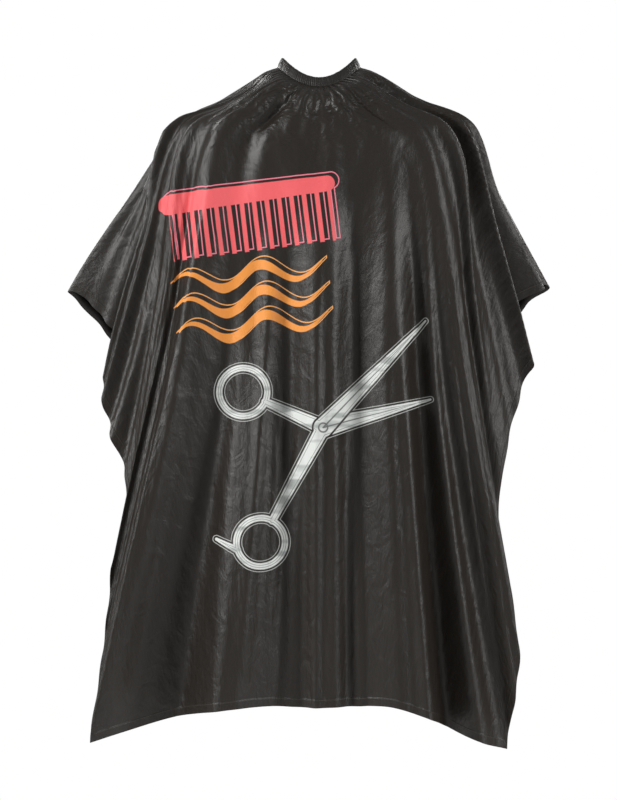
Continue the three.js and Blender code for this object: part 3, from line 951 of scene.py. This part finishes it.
def set_maps(piece, cut, settings, free):
    """Writes the flat pattern, the place of the printing and the distance to the edge into the mesh."""
    mesh = piece.data
    cut_map = mesh.uv_layers.new(name="cut")
    print_map = mesh.uv_layers.new(name="print")
    distance = mesh.attributes.new("edge_distance", "FLOAT", "POINT")
    for number, (across, along) in enumerate(cut.flat):
        distance.data[number].value = edge_distance(settings, across, along)
    for loop in mesh.loops:
        across, along = cut.flat[loop.vertex_index]
        cut_map.data[loop.index].uv = (
            (across + settings.half_width) / CUT_SPAN, (along + settings.front_length) / CUT_SPAN)
        point = free[loop.vertex_index]
        shift = print_shift(across, along, cut.sides[loop.vertex_index])
        print_map.data[loop.index].uv = (
            (point.x + shift) / PRINT_SPAN + 0.5, point.z / PRINT_SPAN + PRINT_TOP)
    side = mesh.attributes.new("across", "FLOAT", "POINT")
    for number, (across, along) in enumerate(cut.flat):
        side.data[number].value = across


def fan_height(across, along, hole):
    """How high the folds that fan out from the neck over the chest stand at a place of the cut."""
    turn = math.atan2(across, -along)
    radius = math.hypot(across, along)
    ridges = 0.5 - 3 * abs(noise.noise(Vector((turn * 5.5, radius * 2.2, 11.3))))
    fine = noise.noise(Vector((turn * 10, radius * 3, 4.7)))
    clear_of_neck = smooth((radius - hole) / 0.05)
    fading = 1 - smooth((radius - hole) / FAN_REACH)
    at_front = smooth((FAN_END_TURN - abs(turn)) / (FAN_END_TURN - FAN_FULL_TURN))
    return FAN_HEIGHT * (ridges + fine) * clear_of_neck * fading * at_front


def raise_fan(whole, cut):
    """Raises the folds under the neck along the cloth's own normals."""
    vertices = whole.data.vertices
    raised = [
        vertex.co + vertex.normal * fan_height(*place, cut.hole)
        for vertex, place in zip(vertices, cut.flat)
    ]
    for vertex, place in zip(vertices, raised):
        vertex.co = place
    whole.data.update()


def whole_cloth(cut, settings):
    """The hanging cloth as one smooth surface with its maps."""
    free, on_band = hang(cut)
    whole = new_piece("whole_cloth", on_band, cut.faces)
    raise_fan(whole, cut)
    set_maps(whole, cut, settings, free)
    apply_modifier(
        whole, "SUBSURF", levels=1, render_levels=1, uv_smooth="NONE", boundary_smooth="PRESERVE_CORNERS")
    shade_smooth(whole)
    return whole


def keep_faces(piece, wanted):
    """Deletes the faces of a piece that aren't wanted, with the points that only they used."""
    mesh = bmesh.new()
    mesh.from_mesh(piece.data)
    mesh.verts.ensure_lookup_table()
    unwanted = [face for face in mesh.faces if not wanted(face, mesh)]
    bmesh.ops.delete(mesh, geom=unwanted, context="FACES")
    mesh.to_mesh(piece.data)
    mesh.free()


def copy_piece(piece, name):
    """A copy of a piece with a mesh of its own."""
    twin = piece.copy()
    twin.data = piece.data.copy()
    twin.name = name
    bpy.context.scene.collection.objects.link(twin)
    return twin


def cloth_half(whole, name, side):
    """The part of the whole cloth on one side of its middle, as a surface without thickness."""
    half = copy_piece(whole, name)

    def on_side(face, mesh):
        across = mesh.verts.layers.float["across"]
        return sum(vertex[across] for vertex in face.verts) * side > 0

    keep_faces(half, on_side)
    return half


def hem_strip(half, name, settings):
    """The folded hem behind the cut edges and the slit of one half, lying on the cloth's inner face."""
    strip = copy_piece(half, name)
    reach = settings.hem_width / MM + 0.2

    def in_hem(face, mesh):
        distance = mesh.verts.layers.float["edge_distance"]
        return all(vertex[distance] <= reach for vertex in face.verts)

    keep_faces(strip, in_hem)
    mesh = strip.data
    outward = mesh.attributes["outward"].data
    for vertex in mesh.vertices:
        vertex.co -= outward[vertex.index].vector * (settings.thickness + HEM_GAP)
    apply_modifier(strip, "SOLIDIFY", thickness=settings.thickness, offset=-1.0, use_even_offset=True)
    return strip


def thicken(half, settings):
    """Gives a half its thickness, its inner material, and normals that meet those of the other half."""
    faces = len(half.data.polygons)
    apply_modifier(
        half, "SOLIDIFY", thickness=settings.thickness, offset=-1.0, material_offset=1, use_rim=True)
    mesh = half.data
    outward = [entry.vector.copy() for entry in mesh.attributes["outward"].data]
    normals = []
    for polygon in mesh.polygons:
        if polygon.index < faces:
            normals += [outward[vertex] for vertex in polygon.vertices]
        elif polygon.index < 2 * faces:
            normals += [-outward[vertex] for vertex in polygon.vertices]
        else:
            normals += [polygon.normal.copy()] * len(polygon.vertices)
    mesh.normals_split_custom_set(normals)


def drop_working_data(piece):
    """Removes the attributes that only the making needed."""
    for name in ("across", "outward"):
        piece.data.attributes.remove(piece.data.attributes[name])


def across_shoulder(piece, label):
    """Lets a piece of cloth follow the front before the shoulder and its back half after it."""
    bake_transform(piece, "front", f"back_{label}", start=(0, FOLD_START, 0), end=(0, FOLD_END, 0))


# ---- the neck band ----
PLEAT_TURN = 2.7
STITCH_DEPTH = 15.4 * MM
STITCH_TURN = 2.9
STITCH_HALF = 1.1 * MM
THREAD_RADIUS = 0.19 * MM


def pleat_height(turn, depth):
    """Height of the gathers at a place on the band, from 0 in a valley to 1 on a crest."""
    wander = noise.noise(Vector((turn * 0.21, depth * 90, 2.3)))
    crest = 0.5 + 0.5 * math.sin(2 * math.pi * (turn / PLEAT_TURN + 0.55 * wander))
    strength = 0.65 + 0.7 * noise.noise(Vector((turn * 0.35, 5.1, 0.4)))
    return crest * strength


def band_half_thickness(turn, depth):
    """Half the thickness of the band: puffed where the elastic gathers it, flat under the press studs."""
    gathered = 1 - smooth((abs(turn) - 104) / 20)
    edge = min(depth, BAND_DEPTH - depth)
    rounding = min(1.0, max(edge, 0.0) / (2 * MM)) ** 0.5
    pinch = 1 - 0.45 * gathered * math.exp(-((depth - STITCH_DEPTH) / (1.1 * MM)) ** 2)
    puff = 1.0 + gathered * (0.5 + 0.95 * pleat_height(turn, depth))
    return max(puff * pinch * rounding, 0.12) * MM


def band_loop(turn):
    """One ring of points round the section of the band."""
    steps = 9
    lift = 0.35 * MM * noise.noise(Vector((turn * 0.3, 9.2, 4.4)))
    drop = 0.6 * MM * noise.noise(Vector((turn * 0.4, 1.2, 8.4)))
    loop = []
    for side in (1, -1):
        for step in range(steps):
            part = (step + 0.5 * (side > 0)) / steps if side > 0 else 1 - (step + 0.5) / steps
            share = (1 - math.cos(math.pi * part)) / 2
            depth = BAND_DEPTH * share
            place = depth + lift * (1 - share) + drop * share
            inner = 1.0 if side > 0 else 0.75
            loop.append(band_point(turn, place, side * inner * band_half_thickness(turn, depth)))
    return loop


def tube(name, rings):
    """A closed solid from rings of points, capped at both ends, with its faces outwards."""
    count = len(rings[0])
    points = [point for ring in rings for point in ring]
    faces = []
    for row in range(len(rings) - 1):
        for place in range(count):
            following = (place + 1) % count
            low, high = row * count, (row + 1) * count
            faces.append([low + place, low + following, high + following, high + place])
    faces.append(list(range(count))[::-1])
    faces.append(list(range(len(points) - count, len(points))))
    piece = new_piece(name, points, faces)
    face_outwards(piece)
    shade_smooth(piece)
    return piece


def face_outwards(piece):
    """Turns a closed piece right side out."""
    mesh = bmesh.new()
    mesh.from_mesh(piece.data)
    if mesh.calc_volume(signed=True) < 0:
        bmesh.ops.reverse_faces(mesh, faces=mesh.faces)
    mesh.to_mesh(piece.data)
    mesh.free()


def turns_between(start, end, step):
    """Evenly spaced turns from start to end, both included."""
    return list(np.linspace(start, end, max(2, round(abs(end - start) / step) + 1)))


def band_side(label, side):
    """One gathered half of the neck band, from the front centre to its end at the nape."""
    low, high = sorted((0.0, side * SLIT_TURN))
    return tube(f"gathered_neck_band_{label}", [band_loop(turn) for turn in turns_between(low, high, 0.4)])


def elastic_loop(turn):
    """One ring round the elastic; every other ring of yarn stands a little proud."""
    rib = 0.06 * MM * math.sin(turn * 2 * math.pi / 1.4)
    half = 0.35 * MM + rib
    top, bottom = 4.2 * MM, 13.6 * MM
    corners = [(top, half), (bottom, half), (bottom, -half), (top, -half)]
    return [band_point(turn, depth, offset) for depth, offset in corners]


def stitches(name, places):
    """Small beads of thread; each place is its middle, the way it runs and the way out of the cloth."""
    points = []
    faces = []
    sides = 6
    for middle, along, out in places:
        first = len(points)
        across = along.cross(out).normalized()
        rings = ((-1.0, 0.35, -0.12), (-0.62, 0.9, 0.05), (0.62, 0.9, 0.05), (1.0, 0.35, -0.12))
        for run, swell, rise in rings:
            centre = middle + along * (run * STITCH_HALF) + out * (rise * MM)
            for place in range(sides):
                angle = 2 * math.pi * place / sides
                points.append(
                    centre + (out * math.cos(angle) + across * math.sin(angle)) * swell * THREAD_RADIUS)
        for ring in range(len(rings) - 1):
            for place in range(sides):
                following = (place + 1) % sides
                low, high = first + ring * sides, first + (ring + 1) * sides
                faces.append([low + place, high + place, high + following, low + following])
        faces.append([first + place for place in range(sides)])
        last = first + (len(rings) - 1) * sides
        faces.append([last + place for place in reversed(range(sides))])
    piece = new_piece(name, points, faces)
    face_outwards(piece)
    shade_smooth(piece)
    return piece


def band_stitch(turn):
    """A stitch of the row that closes the casing."""
    surface = band_half_thickness(turn, STITCH_DEPTH)
    along = band_point(turn + 0.5, STITCH_DEPTH, surface) - band_point(turn - 0.5, STITCH_DEPTH, surface)
    return band_point(turn, STITCH_DEPTH, surface + 0.1 * MM), along.normalized(), band_normal(turn)


def band_stitches(label, side):
    """The row of stitches on one half of the band; on the right it stops at the tab, which covers it."""
    last = TAB_START - 2 if side > 0 else SLIT_TURN - 1.5
    low, high = sorted((side * 1.5, side * last))
    places = [band_stitch(turn) for turn in turns_between(low, high, STITCH_TURN)]
    return stitches(f"neck_band_stitching_{label}", places)


# ---- the closure tab ----
def turn_of(node):
    """Where a node sits round the neck, in degrees from 0 to 360."""
    low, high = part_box(node)
    middle = (Vector(low) + Vector(high)) / 2
    return math.atan2(middle.x / NECK_HALF_WIDTH, -middle.y / NECK_HALF_DEPTH) / DEGREE % 360


SNAP_TURN = turn_of("tab_snap_socket")
TAB_START = SLIT_TURN - 15.0
TAB_END = SNAP_TURN + 8.4
TAB_SEAT = 1.5 * MM
TAB_INNER = 5.83 * MM
TAB_THICKNESS = 1.6 * MM
TAB_MARGIN = 2 * MM
TAB_TIP = 6.5


def tab_seat(turn):
    """How far the tab's inner face stands off the middle of the band."""
    rise = smooth((turn - TAB_START) / (SLIT_TURN - 1 - TAB_START))
    return TAB_SEAT + (TAB_INNER - TAB_SEAT) * rise


def tab_half_depth(turn):
    """Half the depth of the tab, rounded off at its tip."""
    into_tip = max(turn - (TAB_END - TAB_TIP), 0.0) / TAB_TIP
    return (BAND_DEPTH / 2 - TAB_MARGIN) * math.sqrt(max(1 - into_tip ** 2.4, 0.004))


def tab_loop(turn):
    """One ring round the section of the tab, with the soft rolled edge of a turned seam."""
    half = tab_half_depth(turn)
    middle = BAND_DEPTH / 2
    seat = tab_seat(turn)
    outline = ((-1, 0.5), (-0.985, 0.18), (-0.93, 0.0), (-0.8, 0.1), (0, 0.06), (0.8, 0.1), (0.93, 0.0),
               (0.985, 0.18), (1, 0.5), (0.985, 0.82), (0.93, 1.0), (0.8, 0.88), (0, 0.94), (-0.8, 0.88),
               (-0.93, 1.0), (-0.985, 0.82))
    return [band_point(turn, middle + across * half, seat + up * TAB_THICKNESS) for across, up in outline]


def tab_stitch(turn, across):
    """A stitch along the edge of the tab."""
    depth = BAND_DEPTH / 2 + across * (tab_half_depth(turn) - 1.7 * MM)
    offset = tab_seat(turn) + 0.92 * TAB_THICKNESS
    after = band_point(turn + 0.5, depth, tab_seat(turn + 0.5))
    before = band_point(turn - 0.5, depth, tab_seat(turn - 0.5))
    return band_point(turn, depth, offset + 0.08 * MM), (after - before).normalized(), band_normal(turn)


def tab_cross_stitch(turn, part):
    """A stitch of a row across the tab, where it is sewn to the band."""
    depth = BAND_DEPTH / 2 + part * (tab_half_depth(turn) - 1.7 * MM)
    offset = tab_seat(turn) + 0.92 * TAB_THICKNESS
    return band_point(turn, depth, offset + 0.08 * MM), band_down(turn), band_normal(turn)


# ---- the studio ----
FLOOR_RADIUS = 2.0
EVEN_LIGHT = 0.3


def area_light(name, place, target, size, energy):
    """A soft square light that faces a target."""
    light = bpy.data.lights.new(name, "AREA")
    light.energy = energy
    light.size = size
    lamp = bpy.data.objects.new(name, light)
    bpy.context.scene.collection.objects.link(lamp)
    lamp.location = place
    lamp.rotation_euler = (Vector(target) - Vector(place)).to_track_quat("-Z", "Y").to_euler()


def paper_floor(settings):
    """A round sheet of paper on the floor under the cape."""
    bpy.ops.mesh.primitive_circle_add(vertices=96, radius=FLOOR_RADIUS, fill_type="NGON")
    floor = bpy.context.object
    floor.name = "seamless_paper"
    for vertex in floor.data.vertices:
        vertex.co.z -= settings.floor_drop
    return floor


def studio_world():
    """White all round for the eye, and a weaker, even light on the cape."""
    world = bpy.data.worlds.new("Studio")
    world.use_nodes = True
    tree = world.node_tree
    seen = add_node(tree, "ShaderNodeLightPath").outputs["Is Camera Ray"]
    strength = add_node(tree, "ShaderNodeMapRange", [seen, 0.0, 1.0, EVEN_LIGHT, 1.0]).outputs[0]
    background = tree.nodes["Background"]
    background.inputs["Color"].default_value = (1, 1, 1, 1)
    tree.links.new(strength, background.inputs["Strength"])
    return world


# ---- operators ----
VIEW_ACROSS = -0.017
VIEW_STEP_IN = 0.1
LIGHT_AIM = (0, 0, -0.55)
SIDES = (("left", -1), ("right", 1))
CLOTH_PANELS = ("front_cloth", "front_drape", "back_drape", "back_cloth")
HEM_PARTS = ("front_side_hem", "back_side_hem", "back_hem", "vent_hem")


class CAPE_OT_cloth(bpy.types.Operator):
    """Shape the hanging cloth, split it at its middle and fold its hems"""

    bl_idname = "cape.cloth"
    bl_label = "Hang Cloth"

    def execute(self, context):
        settings = context.scene.cape_cloth
        cut = CutCloth(settings)
        whole = whole_cloth(cut, settings)
        outward = whole.data.attributes.new("outward", "FLOAT_VECTOR", "POINT")
        for vertex in whole.data.vertices:
            outward.data[vertex.index].vector = vertex.normal
        outside = taffeta_outside(settings, context.scene.cape_print)
        inside_out = taffeta_inside(settings)
        for label, side in SIDES:
            half = cloth_half(whole, f"cape_cloth_{label}", side)
            hem = hem_strip(half, f"cape_hem_{label}", settings)
            half.data.materials.append(outside)
            half.data.materials.append(inside_out)
            thicken(half, settings)
            hem.data.materials.append(inside_out)
            for piece in (half, hem):
                drop_working_data(piece)
                across_shoulder(piece, label)
            panels = [f"{panel}_{label}" for panel in CLOTH_PANELS]
            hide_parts(*panels)
            hems = [f"{part}_{label}" for part in HEM_PARTS]
            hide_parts(*hems)
            if side < 0:
                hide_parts("front_cloth_centre")
                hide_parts("front_hem")
        bpy.data.objects.remove(whole)
        return {"FINISHED"}


class CAPE_OT_neck_band(bpy.types.Operator):
    """Gather the neck band round its elastic and sew its casing shut"""

    bl_idname = "cape.neck_band"
    bl_label = "Sew Neck Band"

    def execute(self, context):
        taffeta = band_taffeta()
        thread = sewing_thread()
        for label, side in SIDES:
            band = band_side(label, side)
            finish_piece(band, taffeta)
            across_shoulder(band, label)
            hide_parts(f"neck_band_{label}")
            if side < 0:
                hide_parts("neck_casing")
            row = band_stitches(label, side)
            finish_piece(row, thread)
            across_shoulder(row, label)
        elastic = tube("neck_elastic_webbing", [elastic_loop(turn) for turn in turns_between(-88, 88, 0.7)])
        finish_piece(elastic, elastic_webbing())
        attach(elastic, "front")
        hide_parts("neck_elastic")
        return {"FINISHED"}


class CAPE_OT_closure(bpy.types.Operator):
    """Sew the closure tab at the nape and plate the press studs"""

    bl_idname = "cape.closure"
    bl_label = "Sew Closure"

    def execute(self, context):
        tab = tube("sewn_closure_tab", [tab_loop(turn) for turn in turns_between(TAB_START, TAB_END, 0.5)])
        finish_piece(tab, bpy.data.materials["Gathered band taffeta"])
        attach(tab, "closure_tab")
        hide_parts("snap_tab")
        edge = turns_between(TAB_START + 2, TAB_END - 2.2, STITCH_TURN)
        places = [tab_stitch(turn, across) for across in (-1, 1) for turn in edge]
        rows = (TAB_START + 1.4, TAB_START + 12.5)
        places += [tab_cross_stitch(turn, part) for turn in rows for part in (-0.66, -0.22, 0.22, 0.66)]
        row = stitches("tab_stitching", places)
        finish_piece(row, bpy.data.materials["Spun polyester thread"])
        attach(row, "closure_tab")
        nickel = plated_nickel()
        studs = [f"band_{part}_{place}" for part in ("stud", "post") for place in range(1, 5)]
        for name in (*studs, "tab_snap_socket", "tab_snap_cap"):
            for slot in bpy.data.objects[name].material_slots:
                slot.material = nickel
        return {"FINISHED"}


class CAPE_OT_stage(bpy.types.Operator):
    """Set up the paper, the soft lights and the camera"""

    bl_idname = "cape.stage"
    bl_label = "Set Stage"

    def execute(self, context):
        scene = context.scene
        settings = scene.cape_stage
        paper = paper_floor(settings)
        paper.data.materials.append(studio_paper())
        scene.world = studio_world()
        scene.view_settings.view_transform = "Standard"
        area_light("key", (-2.9, -1.3, 1.0), LIGHT_AIM, 1.0, 95)
        area_light("fill", (2.9, -1.5, 0.5), LIGHT_AIM, 1.0, 60)
        area_light("back_left", (-2.2, 2.6, 1.0), LIGHT_AIM, 1.4, 60)
        area_light("back_right", (2.2, 2.4, 0.8), LIGHT_AIM, 1.4, 45)
        camera = bpy.data.cameras.new("camera")
        camera.sensor_fit = "VERTICAL"
        camera.sensor_height = 36
        camera.lens = 36 * settings.camera_distance / settings.picture_height
        view = bpy.data.objects.new("camera", camera)
        scene.collection.objects.link(view)
        low, high = CAD_BOX
        back_to = low[1] - settings.camera_distance + VIEW_STEP_IN
        view.location = (VIEW_ACROSS, back_to, (low[2] + high[2]) / 2)
        view.rotation_euler = (math.pi / 2, 0, 0)
        scene.camera = view
        return {"FINISHED"}


class CAPE_PT_panel(bpy.types.Panel):
    """Lists the steps of making the cape and its sizes"""

    bl_idname = "CAPE_PT_panel"
    bl_label = "Barber Cape"
    bl_space_type = "VIEW_3D"
    bl_region_type = "UI"
    bl_category = "Barber cape"

    def draw(self, context):
        for step in STEPS:
            self.layout.operator(step.bl_idname)
        for group in (context.scene.cape_cloth, context.scene.cape_print, context.scene.cape_stage):
            for name in group.__annotations__:
                self.layout.prop(group, name)


STEPS = (CAPE_OT_cloth, CAPE_OT_neck_band, CAPE_OT_closure, CAPE_OT_stage)
SETTINGS = (
    ("cape_cloth", CapeClothSettings),
    ("cape_print", CapePrintSettings),
    ("cape_stage", CapeStageSettings),
)


def register():
    """Registers the classes and hangs their settings on the scene."""
    for name, group in SETTINGS:
        bpy.utils.register_class(group)
        setattr(bpy.types.Scene, name, bpy.props.PointerProperty(type=group))
    for step in STEPS:
        bpy.utils.register_class(step)
    bpy.utils.register_class(CAPE_PT_panel)


def unregister():
    """Takes back what register did."""
    bpy.utils.unregister_class(CAPE_PT_panel)
    for step in reversed(STEPS):
        bpy.utils.unregister_class(step)
    for name, group in reversed(SETTINGS):
        delattr(bpy.types.Scene, name)
        bpy.utils.unregister_class(group)


def main():
    """Makes the cape and its studio."""
    register()
    bpy.ops.cape.neck_band()
    bpy.ops.cape.cloth()
    bpy.ops.cape.closure()
    bpy.ops.cape.stage()
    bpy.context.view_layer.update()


if __name__ == "__main__":
    main()
